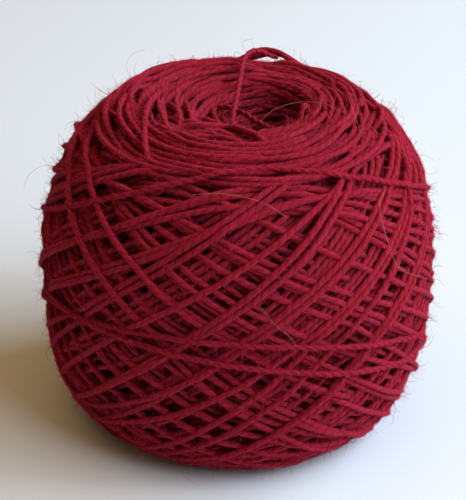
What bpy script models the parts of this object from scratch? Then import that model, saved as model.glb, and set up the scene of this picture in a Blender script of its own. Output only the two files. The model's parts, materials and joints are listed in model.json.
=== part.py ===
"""Centre-pull ball of two-ply yarn, standing on end, with its inner end pulled out over the rim.

Metres, +Z up. The origin is the middle of the flat spot that the ball stands on, and -Y is the front.
"""
import math
from collections import namedtuple

import bpy
from mathutils import Vector

# Driving sizes of the wound form
BALL_RADIUS = 0.0447
BALL_HEIGHT = 0.0763
WAIST_HEIGHT = 0.0400
BASE_RADIUS = 0.0240
CREST_RADIUS = 0.0210
LOWER_ROUNDNESS = 2.80
UPPER_ROUNDNESS = 2.05

# The well that the yarn is drawn from lies off the middle of the crest
WELL_CENTRE = (0.0060, 0.0035)
Ring = namedtuple("Ring", "radius height offset_share")
WELL_RINGS = (
    Ring(0.0183, 0.0761, 0.12),
    Ring(0.0158, 0.0752, 0.30),
    Ring(0.0132, 0.0738, 0.55),
    Ring(0.0108, 0.0719, 0.82),
    Ring(0.0090, 0.0692, 1.00),
    Ring(0.0080, 0.0655, 1.00),
    Ring(0.0076, 0.0600, 1.00),
    Ring(0.0072, 0.0535, 1.00),
    Ring(0.0052, 0.0485, 1.00),
)

# Crossing bands that the yarn is wound in: 40 degrees up and down from level at the waist
BAND_COUNT = 16
BAND_ANGLE = math.radians(40)
BAND_RELIEF = 0.0009
FACETS_PER_BAND = 4

# Last turns, laid level across the bands. A turn is highest at its high side, an azimuth from +X.
Wrap = namedtuple("Wrap", "middle_height rise high_side")
WRAPS = (
    Wrap(0.0244, 0.0160, math.radians(-105)),
    Wrap(0.0257, 0.0118, math.radians(-130)),
)
WRAP_RELIEF = 0.0006
WRAP_HALF_WIDTH = 0.0016

# Inner end of the yarn: out of the dish, up over the back rim, and down into the winding again
YARN_DIAMETER = 0.0013
STRAND_STEP = 0.0024
STRAND_ROUTE = (
    (-0.00140, -0.0048, 0.0729),
    (-0.00115, -0.0034, 0.0742),
    (-0.00085, -0.0016, 0.0751),
    (-0.00045, 0.0010, 0.0759),
    (-0.00005, 0.0046, 0.0766),
    (0.00040, 0.0090, 0.0773),
    (0.00085, 0.0136, 0.0780),
    (0.00135, 0.0180, 0.0786),
    (0.00240, 0.0215, 0.0788),
    (0.00360, 0.0240, 0.0785),
    (0.00475, 0.0258, 0.0778),
    (0.00600, 0.0272, 0.0768),
    (0.00750, 0.0282, 0.0757),
    (0.00920, 0.0290, 0.0748),
)

CRIMSON = (0.30, 0.008, 0.022, 1.0)
CRIMSON_INNER_END = (0.36, 0.010, 0.028, 1.0)


def clear_scene():
    for item in list(bpy.data.objects):
        bpy.data.objects.remove(item, do_unlink=True)


def wool(name, colour):
    material = bpy.data.materials.new(name)
    material.use_nodes = True
    shader = material.node_tree.nodes["Principled BSDF"]
    shader.inputs["Base Color"].default_value = colour
    shader.inputs["Roughness"].default_value = 0.9
    shader.inputs["Metallic"].default_value = 0.0
    return material


def superellipse(angle, inner_radius, end_height, roundness):
    """Outline point at an angle from the waist (0) to the level ring at end_height (90 degrees)."""
    across = max(math.cos(angle), 0.0) ** (2 / roundness)
    along = max(math.sin(angle), 0.0) ** (2 / roundness)
    radius = inner_radius + (BALL_RADIUS - inner_radius) * across
    height = WAIST_HEIGHT + (end_height - WAIST_HEIGHT) * along
    return radius, height


def evenly_spaced(points, step):
    """The same outline with its points a fixed distance apart, ends kept."""
    lengths = [0.0]
    for first, second in zip(points, points[1:]):
        lengths.append(lengths[-1] + math.dist(first, second))
    count = round(lengths[-1] / step)
    spaced = []
    segment = 0
    for index in range(count + 1):
        wanted = lengths[-1] * index / count
        while segment < len(points) - 2 and lengths[segment + 1] < wanted:
            segment += 1
        share = (wanted - lengths[segment]) / (lengths[segment + 1] - lengths[segment])
        pair = zip(points[segment], points[segment + 1])
        spaced.append(tuple(a + (b - a) * share for a, b in pair))
    return spaced


def outer_outline():
    """Side of the ball, from the edge of its flat base up to the crest."""
    samples = 240
    quarter = [math.pi / 2 * index / samples for index in range(samples + 1)]
    lower = [superellipse(angle, BASE_RADIUS, 0.0, LOWER_ROUNDNESS) for angle in reversed(quarter)]
    upper = [superellipse(angle, CREST_RADIUS, BALL_HEIGHT, UPPER_ROUNDNESS) for angle in quarter[1:]]
    facet = 2 * math.pi * BALL_RADIUS / (BAND_COUNT * FACETS_PER_BAND)
    return evenly_spaced(lower + upper, facet / 2 * math.tan(BAND_ANGLE))


def band_height(azimuth, row, waist_row):
    """Relief of the two crossing sets of bands, from -1 between bands to 0 on their ridges."""
    drift = math.pi / (BAND_COUNT * FACETS_PER_BAND) * (row - waist_row)
    rising = math.cos(BAND_COUNT * (azimuth - drift))
    falling = math.cos(BAND_COUNT * (azimuth + drift))
    return (max(rising, falling) - 1) / 2


def wrap_height(azimuth, height):
    """Relief of the level turns, 1 on the middle of a turn and 0 away from it."""
    nearest = 0.0
    for wrap in WRAPS:
        level = wrap.middle_height + wrap.rise * math.cos(azimuth - wrap.high_side)
        nearest = max(nearest, 1 - abs(height - level) / (2 * WRAP_HALF_WIDTH))
    return nearest


def side_rings():
    """Rings of points up the outside, every second one turned by half a facet."""
    outline = outer_outline()
    facets = BAND_COUNT * FACETS_PER_BAND
    waist_row = min(range(len(outline)), key=lambda row: abs(outline[row][1] - WAIST_HEIGHT))
    rings = []
    for row, (radius, height) in enumerate(outline):
        below = outline[max(row - 1, 0)]
        above = outline[min(row + 1, len(outline) - 1)]
        run = math.dist(below, above)
        out = (above[1] - below[1]) / run
        up = (below[0] - above[0]) / run
        fade = min(1.0, row / 4, (len(outline) - 1 - row) / 4)
        ring = []
        for column in range(facets):
            azimuth = 2 * math.pi * (column + 0.5 * (row % 2)) / facets
            relief = BAND_RELIEF * band_height(azimuth, row, waist_row)
            relief = fade * (relief + WRAP_RELIEF * wrap_height(azimuth, height))
            reach = radius + relief * out
            ring.append((reach * math.cos(azimuth), reach * math.sin(azimuth), height + relief * up))
        rings.append(ring)
    return rings


def well_rings(first_row):
    """Rings from the crest down into the well, whose middle moves over to the well's own."""
    facets = BAND_COUNT * FACETS_PER_BAND
    rings = []
    for step, section in enumerate(WELL_RINGS):
        turn = 0.5 * ((first_row + step) % 2)
        middle_x = WELL_CENTRE[0] * section.offset_share
        middle_y = WELL_CENTRE[1] * section.offset_share
        ring = []
        for column in range(facets):
            azimuth = 2 * math.pi * (column + turn) / facets
            x = middle_x + section.radius * math.cos(azimuth)
            y = middle_y + section.radius * math.sin(azimuth)
            ring.append((x, y, section.height))
        rings.append(ring)
    return rings


def wound_ball():
    """One closed solid: flat base, banded side, crest, dish and well."""
    rings = side_rings()
    rings += well_rings(len(rings))
    facets = len(rings[0])
    points = [point for ring in rings for point in ring]
    faces = [tuple(reversed(range(facets)))]
    for row in range(len(rings) - 1):
        low = row * facets
        high = low + facets
        for column in range(facets):
            after = (column + 1) % facets
            if row % 2 == 0:
                faces.append((low + column, low + after, high + column))
                faces.append((low + after, high + after, high + column))
            else:
                faces.append((low + column, low + after, high + after))
                faces.append((low + column, high + after, high + column))
    faces.append(tuple(range(len(points) - facets, len(points))))
    mesh = bpy.data.meshes.new("yarn_ball")
    mesh.from_pydata(points, [], faces)
    mesh.validate()
    mesh.shade_smooth()
    mesh.set_sharp_from_angle(angle=math.radians(50))
    ball = bpy.data.objects.new("yarn_ball", mesh)
    ball.data.materials.append(wool("crimson_wool", CRIMSON))
    bpy.context.collection.objects.link(ball)
    return ball


def smooth_route(points, samples=12):
    """Catmull-Rom curve through the points, with the end spans led straight in and out."""
    knots = [Vector(point) for point in points]
    knots = [2 * knots[0] - knots[1]] + knots + [2 * knots[-1] - knots[-2]]
    curve = []
    for before, start, end, after in zip(knots, knots[1:], knots[2:], knots[3:]):
        for index in range(samples):
            t = index / samples
            point = 2 * start + (end - before) * t
            point += (2 * before - 5 * start + 4 * end - after) * t ** 2
            point += (3 * start - before - 3 * end + after) * t ** 3
            curve.append(tuple(point / 2))
    curve.append(tuple(knots[-2]))
    return curve


def loose_strand():
    """The free end of the yarn as a round tube along its route."""
    curve = bpy.data.curves.new("loose_strand", "CURVE")
    curve.dimensions = "3D"
    curve.bevel_depth = YARN_DIAMETER / 2
    curve.bevel_resolution = 2
    curve.use_fill_caps = True
    path = evenly_spaced(smooth_route(STRAND_ROUTE), STRAND_STEP)
    spline = curve.splines.new("POLY")
    spline.points.add(len(path) - 1)
    for point, place in zip(spline.points, path):
        point.co = (*place, 1.0)
    strand = bpy.data.objects.new("loose_strand", curve)
    strand.data.materials.append(wool("crimson_wool_inner_end", CRIMSON_INNER_END))
    bpy.context.collection.objects.link(strand)
    return strand


clear_scene()
wound_ball()
loose_strand()
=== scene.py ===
import json
import math
import bpy
import numpy as np
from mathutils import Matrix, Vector


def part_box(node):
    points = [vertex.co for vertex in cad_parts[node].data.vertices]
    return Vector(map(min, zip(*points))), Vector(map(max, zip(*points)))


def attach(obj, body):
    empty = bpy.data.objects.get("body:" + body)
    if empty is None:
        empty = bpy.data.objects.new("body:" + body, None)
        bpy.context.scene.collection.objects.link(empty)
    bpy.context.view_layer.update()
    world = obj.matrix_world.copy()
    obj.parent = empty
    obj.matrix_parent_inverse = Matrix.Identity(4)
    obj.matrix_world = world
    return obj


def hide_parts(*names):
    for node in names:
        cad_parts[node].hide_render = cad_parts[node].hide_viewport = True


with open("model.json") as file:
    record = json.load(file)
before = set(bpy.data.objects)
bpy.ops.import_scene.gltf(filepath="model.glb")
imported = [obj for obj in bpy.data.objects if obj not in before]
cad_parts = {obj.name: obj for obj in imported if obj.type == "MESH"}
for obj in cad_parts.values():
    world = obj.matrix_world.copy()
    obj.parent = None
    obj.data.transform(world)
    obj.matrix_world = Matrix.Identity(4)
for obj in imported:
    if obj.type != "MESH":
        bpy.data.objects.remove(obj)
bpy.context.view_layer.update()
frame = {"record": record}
mm = 0.001

# camera, light and table
view = {"elevation": 28.0, "distance": 0.45, "focal": 151.3, "aim": (-0.0011, -0.0004, 0.0393)}
lamps = {
    # place, size, power and colour
    "window": ((0.84, 0.12, 0.60), 0.80, 14.7, (0.77, 0.90, 1.0)),
    "front_window": ((0.66, -0.50, 0.70), 0.70, 7.6, (0.84, 0.93, 1.0)),
    "ceiling": ((-0.20, -0.10, 1.40), 1.20, 5.4, (1.0, 0.60, 0.23)),
}
room = {
    "colour": (1.0, 0.66, 0.36, 1.0),
    "strength": 0.18,
    "table": (0.715, 0.785, 0.875, 1.0),
    "tableSide": 3.0,
    "tableRoughness": 0.7,
}


def makeCamera():
    data = bpy.data.cameras.new("camera")
    data.sensor_fit = "HORIZONTAL"
    data.sensor_width = 36.0
    data.lens = view["focal"]
    data.clip_start = 0.01
    camera = bpy.data.objects.new("camera", data)
    bpy.context.scene.collection.objects.link(camera)
    tilt = math.radians(view["elevation"])
    back = Vector((0.0, -math.cos(tilt), math.sin(tilt)))
    camera.location = Vector(view["aim"]) + back * view["distance"]
    camera.rotation_euler = (math.pi / 2 - tilt, 0.0, 0.0)
    bpy.context.scene.camera = camera


def makeLamp(name, place, size, power, colour):
    data = bpy.data.lights.new(name, "AREA")
    data.size = size
    data.energy = power
    data.color = colour
    lamp = bpy.data.objects.new(name, data)
    lamp.location = place
    lamp.rotation_euler = (Vector(view["aim"]) - Vector(place)).to_track_quat("-Z", "Y").to_euler()
    bpy.context.scene.collection.objects.link(lamp)


def makeRoom():
    world = bpy.data.worlds.new("warm_room")
    world.use_nodes = True
    world.node_tree.nodes["Background"].inputs["Color"].default_value = room["colour"]
    world.node_tree.nodes["Background"].inputs["Strength"].default_value = room["strength"]
    bpy.context.scene.world = world
    bpy.context.scene.view_settings.view_transform = "Standard"
    side = room["tableSide"]
    mesh = bpy.data.meshes.new("table_top")
    corners = [(-side, -side, 0), (side, -side, 0), (side, side, 0), (-side, side, 0)]
    mesh.from_pydata(corners, [], [(0, 1, 2, 3)])
    table = bpy.data.objects.new("table_top", mesh)
    bpy.context.scene.collection.objects.link(table)
    paint = bpy.data.materials.new("pale_table")
    paint.use_nodes = True
    paint.node_tree.nodes["Principled BSDF"].inputs["Base Color"].default_value = room["table"]
    paint.node_tree.nodes["Principled BSDF"].inputs["Roughness"].default_value = room["tableRoughness"]
    mesh.materials.append(paint)


makeCamera()
for name, (place, size, power, colour) in lamps.items():
    makeLamp(name, place, size, power, colour)
makeRoom()
print("camera, light and table are set")

# form of the ball: its outline from the middle of the base, over the crest and down the well
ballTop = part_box("yarn_ball")[1].z
wellBox = frame["record"]["physics"]["openings"][0]["box_m"]
wellCentre = ((wellBox[0][0] + wellBox[1][0]) / 2, (wellBox[0][1] + wellBox[1][1]) / 2)
form = {
    "radius": 0.0447,
    "height": ballTop,
    "waistHeight": 0.0400,
    "baseRadius": 0.0240,
    "crestRadius": 0.0210,
    "lowerRoundness": 2.80,
    "upperRoundness": 2.05,
    "mouthRadius": 0.0108,
    "dimpleRadius": 0.0080,
    # run from the middle of the base within which the foot lies
    "footRun": 0.020,
    # spacing of the rows and columns of the map, steps in a quarter of the outline, and rows on each side
    # that it is evened over
    "cell": 0.0003,
    "quarterSteps": 120,
    "evening": 5,
    # radius, height and share of the well's offset, inwards from the crest
    "well": (
        (0.0183, 0.0761, 0.12), (0.0158, 0.0752, 0.30), (0.0132, 0.0738, 0.55), (0.0108, 0.0719, 0.82),
        (0.0090, 0.0692, 1.00), (0.0080, 0.0655, 1.00), (0.0076, 0.0600, 1.00), (0.0072, 0.0535, 1.00),
        (0.0052, 0.0485, 1.00), (0.0010, 0.0478, 1.00),
    ),
    # radius and height, outwards from the middle of the dimple underneath
    "dimple": (
        (0.0010, 0.0102), (0.0045, 0.0095), (0.0062, 0.0060), (0.0080, 0.0026), (0.0110, 0.0006),
        (0.0160, 0.0),
    ),
}


def superellipse(angle, innerRadius, endHeight, roundness):
    across = max(math.cos(angle), 0.0) ** (2 / roundness)
    along = max(math.sin(angle), 0.0) ** (2 / roundness)
    radius = innerRadius + (form["radius"] - innerRadius) * across
    return radius, form["waistHeight"] + (endHeight - form["waistHeight"]) * along, 0.0


def outline():
    steps = form["quarterSteps"]
    quarter = [math.pi / 2 * index / steps for index in range(steps + 1)]
    lower = (form["baseRadius"], 0.0, form["lowerRoundness"])
    upper = (form["crestRadius"], form["height"], form["upperRoundness"])
    points = [(radius, height, 0.0) for radius, height in form["dimple"]]
    points += [superellipse(angle, *lower) for angle in reversed(quarter)]
    points += [superellipse(angle, *upper) for angle in quarter[1:]]
    points = np.array(points + list(form["well"]))
    run = np.concatenate([[0], np.cumsum(np.linalg.norm(np.diff(points[:, :2], axis=0), axis=1))])
    even = np.linspace(0, run[-1], int(run[-1] / form["cell"]))
    fine = np.stack([np.interp(even, run, points[:, k]) for k in range(3)], 1)
    reach = form["evening"]
    blur = np.hanning(2 * reach + 3)[1:-1]
    padded = np.pad(fine, ((reach, reach), (0, 0)), mode="edge")
    return even, np.stack([np.convolve(padded[:, k], blur / blur.sum(), "valid") for k in range(3)], 1)


runs, rings = outline()
cell = runs[1]
slopes = np.gradient(rings[:, :2], cell, axis=0)
slopes /= np.linalg.norm(slopes, axis=1)[:, None]
rowCount = len(runs)
columnCount = int(2 * math.pi * form["radius"] / form["cell"])
crestRow = int(np.argmax(rings[:, 1]))
sideRows = np.arange(rowCount)[(runs > form["footRun"]) & (np.arange(rowCount) < crestRow)]
footRows = int(form["footRun"] / cell)
waistRun = runs[sideRows[np.argmin(abs(rings[sideRows, 1] - form["waistHeight"]))]]
crestRun = runs[crestRow]
mouthRun = runs[crestRow + int(np.argmin(abs(rings[crestRow:, 0] - form["mouthRadius"])))]
dimpleRun = runs[int(np.argmin(abs(rings[:footRows, 0] - form["dimpleRadius"])))]
marks = {"dimple": dimpleRun, "waist": waistRun, "crest": crestRun, "mouth": mouthRun, "end": runs[-1]}
print("outline in mm:", {name: round(float(run) / mm, 1) for name, run in marks.items()})


def surface(run, azimuth, height=0.0):
    run = np.clip(run, 0, runs[-1])
    radius = np.interp(run, runs, rings[:, 0])
    level = np.interp(run, runs, rings[:, 1])
    share = np.interp(run, runs, rings[:, 2])
    outR = np.interp(run, runs, slopes[:, 1])
    outZ = -np.interp(run, runs, slopes[:, 0])
    reach = np.maximum(radius + height * outR, 0.0)
    x = wellCentre[0] * share + reach * np.cos(azimuth)
    y = wellCentre[1] * share + reach * np.sin(azimuth)
    return np.stack([x, y, level + height * outZ], -1)


def normalAt(run, azimuth):
    outR = np.interp(run, runs, slopes[:, 1])
    outZ = -np.interp(run, runs, slopes[:, 0])
    return np.stack([outR * np.cos(azimuth), outR * np.sin(azimuth), outZ], -1)


def placeOnTop(x, y):
    # run and azimuth of the point of the outline's surface above or below x, y, inside the waist
    rows = np.arange(rowCount)[runs > waistRun]
    offX = x - wellCentre[0] * rings[rows, 2]
    offY = y - wellCentre[1] * rings[rows, 2]
    row = int(np.argmin(abs(np.hypot(offX, offY) - rings[rows, 0])))
    return runs[rows[row]], math.atan2(offY[row], offX[row])


# winding: each strand is laid tight over those before it, on a map of how high the winding stands
yarn = {
    "radius": 0.00067,
    "squash": 0.62,
    "sample": 0.00040,
    "plyPitch": 0.0046,
    # samples on each side that its height is evened over
    "evening": 3,
    # share by which its thickness varies, how fast it does so, and how far each strand's twist is put on
    "unevenness": 0.05,
    "unevenTurn": 900.0,
    "plyOffset": 0.37,
    # smallest radius it turns round, and its least pull onto the ball
    "leastRing": 0.002,
    "leastCurvature": 1.5,
    # stretch over which a loose end sinks in
    "sinkLength": 0.004,
    # how much strands differ in tone
    "shadeSpread": 0.07,
    "shadeLimit": 0.15,
}
# shares of a strand's width at which it rests on those under it, and at which it is added to the map
restShares = (-0.8, -0.4, 0.0, 0.4, 0.8)
crownShares = np.linspace(-0.96, 0.96, 9)
# rows and columns over which the winding's level is evened out, and how far it lies above their mean
levelling = {"rows": 14, "columns": 34, "spread": 0.9}
# depth under the finished surface at which the winding that shows starts, in millimetres
firstDepth = (
    (0.0, 0.9), (dimpleRun / mm, 2.0), (dimpleRun / mm + 12, 3.6), (waistRun / mm - 40, 5.0),
    (waistRun / mm, 5.0), (waistRun / mm + 34, 5.0), (crestRun / mm - 4, 4.6), (crestRun / mm, 4.0),
    (mouthRun / mm, 2.2), (mouthRun / mm + 6, 1.2), (runs[-1] / mm, 0.9),
)


def smoothed(values, reach):
    # mean over so many neighbours on each side
    width = 2 * reach + 1
    return np.convolve(np.pad(values, reach, mode="edge"), np.ones(width) / width, "valid")


def evened(values, rowReach, columnReach):
    # weighted mean over the neighbouring rows and columns
    result = np.zeros_like(values)
    weights = np.hanning(2 * columnReach + 3)[1:-1]
    for offset, weight in zip(range(-columnReach, columnReach + 1), weights / weights.sum()):
        result += weight * np.roll(values, offset, axis=1)
    padded = np.pad(result, ((rowReach, rowReach), (0, 0)), mode="edge")
    weights = np.hanning(2 * rowReach + 3)[1:-1]
    result = np.zeros_like(values)
    for offset, weight in enumerate(weights / weights.sum()):
        result += weight * padded[offset:offset + rowCount]
    return result


def tautOver(s, ground):
    # least curve with no hollow that stays on or above the ground
    hull = [0]
    for i in range(1, len(s)):
        while len(hull) > 1:
            a, b = hull[-2], hull[-1]
            if (ground[b] - ground[a]) * (s[i] - s[a]) <= (ground[i] - ground[a]) * (s[b] - s[a]):
                hull.pop()
            else:
                break
        hull.append(i)
    return np.interp(s, s[hull], ground[hull])


def cellsAt(run, azimuth):
    row = np.clip(np.rint(run / cell).astype(int), 0, rowCount - 1)
    column = np.rint(azimuth * columnCount / (2 * math.pi)).astype(int) % columnCount
    return row, column


class Winding:
    def __init__(self, depth, seed):
        self.rng = np.random.default_rng(seed)
        self.depth = depth
        self.top = np.repeat(-depth[:, None], columnCount, axis=1)
        self.owner = np.full((rowCount, columnCount), -1, np.int32)
        self.strands = []
        self.total = 0

    def wander(self, count, knots, size):
        # smooth drift through evenly spaced knots
        values = self.rng.normal(0, size, knots + 3)
        place = np.linspace(0, knots, count)
        index = np.floor(place).astype(int)
        t = place - index
        t = t * t * (3 - 2 * t)
        return values[index] * (1 - t) + values[index + 1] * t

    def pileUnder(self, run, azimuth):
        return float(self.top[cellsAt(run, azimuth)].mean())

    def lay(self, run, azimuth, kind, startHeight=None, sinkEnds=(True, True), thickness=1.0, sinkDepth=1.8):
        # rests a strand on the map along its way, adds it to the map and lets its loose ends sink in
        radius = yarn["radius"] * thickness
        base = surface(run, azimuth)
        steps = np.maximum(np.linalg.norm(np.diff(base, axis=0), axis=1), 1e-7)
        s = np.concatenate([[0], np.cumsum(steps)])
        ringRadius = np.maximum(np.interp(run, runs, rings[:, 0]), yarn["leastRing"])
        alongRun = np.gradient(run, s)
        alongRound = np.gradient(azimuth, s) * ringRadius
        size = np.maximum(np.hypot(alongRun, alongRound), 1e-9)
        acrossRun, acrossRound = -alongRound / size, alongRun / size
        support = np.full(len(run), -1.0)
        for share in restShares:
            offset = share * radius
            bulge = yarn["squash"] * math.sqrt(1 - share * share) * radius
            where = cellsAt(run + offset * acrossRun, azimuth + offset * acrossRound / ringRadius)
            support = np.maximum(support, self.top[where] + bulge)
        if startHeight is not None:
            support[s < 3 * radius] = startHeight
        bend = np.gradient(np.gradient(base, s, axis=0), s, axis=0)
        curvature = np.maximum(-(bend * normalAt(run, azimuth)).sum(1), yarn["leastCurvature"])
        slope = np.concatenate([[0], np.cumsum((curvature[1:] + curvature[:-1]) / 2 * steps)])
        lean = np.concatenate([[0], np.cumsum((slope[1:] + slope[:-1]) / 2 * steps)])
        height = smoothed(tautOver(s, support - lean) + lean, yarn["evening"])
        numbers = self.total + np.arange(len(run))
        for share in crownShares:
            offset = share * radius
            row, column = cellsAt(run + offset * acrossRun, azimuth + offset * acrossRound / ringRadius)
            crown = height + yarn["squash"] * math.sqrt(1 - share * share) * radius
            higher = crown > self.top[row, column]
            self.top[row[higher], column[higher]] = crown[higher]
            self.owner[row[higher], column[higher]] = numbers[higher]
        sunk = height.copy()
        if sinkEnds[0]:
            sunk -= sinkDepth * mm * np.clip(1 - s / yarn["sinkLength"], 0, 1) ** 2
        if sinkEnds[1]:
            sunk -= sinkDepth * mm * np.clip(1 - (s[-1] - s) / yarn["sinkLength"], 0, 1) ** 2
        limit = yarn["shadeLimit"]
        shade = float(np.clip(self.rng.normal(0, yarn["shadeSpread"]), -limit, limit))
        self.strands.append({"kind": kind, "first": self.total, "run": run, "azimuth": azimuth,
                             "height": sunk, "s": s, "thickness": thickness, "shade": shade})
        self.total += len(run)
        return height[-1]

    def level(self):
        # how high the crowns of the winding stand, evened out over a few millimetres
        reach = (levelling["rows"], levelling["columns"])
        mean = evened(self.top, *reach)
        spread = np.sqrt(np.maximum(evened((self.top - mean) ** 2, *reach), 0))
        return mean + levelling["spread"] * spread

    def shown(self):
        # which samples are uppermost somewhere on the map
        seen = np.zeros(self.total, bool)
        seen[np.unique(self.owner[self.owner >= 0])] = True
        return seen


# what all arcs share: their trials, ranges and wander, in millimetres where they are lengths
arcs = {
    "trials": 6,
    "leastSamples": 24,
    "bowRange": (0.6, 1.4),
    "tilt": 0.05,
    "knots": 4,
    "wander": 0.25,
    "margin": 0.4,
    "thickness": (0.94, 1.06),
}
# arcs round a pole: rows every so far from the mouth of the well and from the dimple, in millimetres
poleTurns = {
    "step": 1.0,
    "wellDepth": 9.0,
    "crestReach": 15.0,
    "crestFrom": 14.0,
    "dimpleDepth": 4.0,
    "baseReach": 20.0,
    # arcs in a row: so many in the well; elsewhere the first row's count and the distance that adds one
    "wellCount": 3,
    "topCount": (6, 4),
    "baseCount": (3, 6),
    "topSpread": 0.5,
    "baseSpread": 0.6,
    "wellBow": 0.10,
    "topBow": 0.20,
    "baseBow": -0.22,
    "thickness": 0.88,
}
# small gap between turns in the dish, in front of the well, that strands dip into
gap = {"centre": (-0.0027, -0.0102), "radius": 0.0030}


def layArc(winding, nearest, spread, bow, kind, span=(0.8, 1.2), around=None, thickness=1.0):
    # an arc round the ball, bowed towards the base at its ends, where the winding is lowest
    rng = winding.rng
    best = None
    for trial in range(arcs["trials"]):
        middle = nearest + rng.uniform(-spread, spread)
        reach = rng.uniform(*span)
        radius = float(np.interp(middle, runs, rings[:, 0]))
        samples = max(int(radius * reach * 2 / yarn["sample"]), arcs["leastSamples"])
        turn = np.linspace(-reach, reach, samples)
        centre = rng.uniform(0, 2 * math.pi) if around is None else rng.uniform(*around)
        bend = bow * rng.uniform(*arcs["bowRange"]) * turn ** 2
        bend += rng.uniform(-arcs["tilt"], arcs["tilt"]) * turn
        run = middle - radius * bend + winding.wander(samples, arcs["knots"], arcs["wander"] * mm)
        run = np.clip(run, arcs["margin"] * mm, runs[-1] - arcs["margin"] * mm)
        points = surface(run, centre + turn)
        gapDistance = np.hypot(points[:, 0] - gap["centre"][0], points[:, 1] - gap["centre"][1])
        if points[0, 2] > form["waistHeight"] and gapDistance.min() < gap["radius"]:
            continue
        pile = winding.pileUnder(run, centre + turn)
        if best is None or pile < best[0]:
            best = (pile, run, centre + turn)
    if best is not None:
        winding.lay(best[1], best[2], kind, thickness=thickness * rng.uniform(*arcs["thickness"]))


def layPoles(winding):
    distance = -poleTurns["wellDepth"]
    first, each = poleTurns["topCount"]
    while distance < poleTurns["crestReach"]:
        inWell = distance < 0
        kind = "well" if distance < poleTurns["crestFrom"] else "crest"
        bow = poleTurns["wellBow"] if inWell else poleTurns["topBow"]
        for index in range(poleTurns["wellCount"] if inWell else first + int(distance / each)):
            layArc(winding, mouthRun - distance * mm, poleTurns["topSpread"] * mm, bow, kind,
                   thickness=poleTurns["thickness"])
        distance += poleTurns["step"]
    distance = -poleTurns["dimpleDepth"]
    first, each = poleTurns["baseCount"]
    while distance < poleTurns["baseReach"]:
        for index in range(first + int(max(distance, 0) / each)):
            middle = dimpleRun + distance * mm
            layArc(winding, middle, poleTurns["baseSpread"] * mm, poleTurns["baseBow"], "base")
        distance += poleTurns["step"]


# slanting turns: they lie in groups side by side, and the groups go on round the ball. Lengths are in
# millimetres and leads in degrees
sideTurns = {
    "rounds": 3.4,
    "groupShares": (0.30, 0.50, 0.20),
    "beside": (2.0, 2.6),
    "apart": (9.5, 13.0),
    "endLead": -25.0,
    "crossLead": -128.0,
    "upper": (30.0, 41.5),
    "lower": (33.0, 44.5),
    "straightness": 0.60,
    "firstUpper": 38.0,
    "firstLower": 40.0,
    "sizeDrift": 1.3,
    "samplesPerLeg": 380,
    "endSamples": 130,
    "groupDrift": 1.0,
    "groupKnots": 3,
    "drift": 0.35,
    "knots": 9,
    "trials": 9,
    "trialsBeside": 3,
}


def leadsOfTurns(winding):
    # azimuth that each turn is centred on, and whether it opens a group
    rng = winding.rng
    leads, opens = [0.0], [True]
    wanted = 2 * math.pi * sideTurns["rounds"]
    while leads[-1] < wanted:
        for member in range(rng.choice(3, p=sideTurns["groupShares"])):
            leads.append(leads[-1] + rng.uniform(*sideTurns["beside"]) * mm / form["radius"])
            opens.append(False)
        leads.append(leads[-1] + rng.uniform(*sideTurns["apart"]) * mm / form["radius"])
        opens.append(True)
    leads = np.array(leads)
    return leads - leads[-1] + math.radians(sideTurns["endLead"]), opens


def legPath(rising, startSize, endSize, startLead, endLead, drift):
    # half a turn, between its lowest and its highest point
    t = np.linspace(0, 1, sideTurns["samplesPerLeg"] + 1)
    phase = -math.pi / 2 + math.pi * t if rising else math.pi / 2 + math.pi * t
    wave = np.arcsin(sideTurns["straightness"] * np.sin(phase)) / math.asin(sideTurns["straightness"])
    upper, lower = (endSize, startSize) if rising else (startSize, endSize)
    run = waistRun + wave * np.where(wave > 0, upper, lower)
    ease = t * t * (3 - 2 * t)
    azimuth = phase + startLead * (1 - ease) + endLead * ease
    return run, azimuth + drift * np.sin(math.pi * t) / form["radius"]


def laySide(winding, leads, opens, first, last, sizes):
    rng = winding.rng
    samples = sideTurns["samplesPerLeg"] + 1
    tail = slice(-sideTurns["endSamples"], None)
    widest = sideTurns["beside"][1] * mm / form["radius"]
    height = None
    for turn in range(first, last):
        age = (leads[-1] - leads[turn]) / (2 * math.pi)
        kind = "outer" if age <= 1 else "second" if age <= 2 else "inner"
        middleLead = leads[turn] + min(leads[turn + 1] - leads[turn], widest) / 2
        if opens[turn]:
            groupDrift = (samples, sideTurns["groupKnots"], sideTurns["groupDrift"] * mm)
            sizes["drift"] = [winding.wander(*groupDrift) for leg in range(2)]
        for rising in (True, False):
            lowest, highest = sideTurns["upper" if rising else "lower"]
            previous = sizes["upper" if rising else "lower"]
            start = sizes["lower" if rising else "upper"]
            leadNow, leadNext = (leads[turn], middleLead) if rising else (middleLead, leads[turn + 1])
            trials = sideTurns["trials"] if opens[turn] or not rising else sideTurns["trialsBeside"]
            best = None
            for trial in range(trials):
                end = rng.uniform(lowest, highest) * mm
                if not opens[turn]:
                    end = previous + rng.normal(0, sideTurns["sizeDrift"]) * mm
                    end = float(np.clip(end, lowest * mm, highest * mm))
                drift = winding.wander(samples, sideTurns["knots"], sideTurns["drift"] * mm)
                drift += sizes["drift"][0 if rising else 1]
                run, azimuth = legPath(rising, start, end, leadNow, leadNext, drift)
                pile = winding.pileUnder(run[tail], azimuth[tail])
                if best is None or pile < best[0]:
                    best = (pile, run, azimuth, end)
            sizes["upper" if rising else "lower"] = best[3]
            ends = (turn == first and rising, turn == last - 1 and not rising)
            height = winding.lay(best[1], best[2], kind, startHeight=height, sinkEnds=ends)


# flat arcs that close the shoulders: their count, and the least and most run from the waist in millimetres
shoulderTurns = {
    "upper": (16, 31.0, 44.0),
    "lower": (22, 33.0, 48.0),
    "spread": 1.2,
    "span": (0.7, 1.1),
    "bow": 0.12,
}
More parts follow.
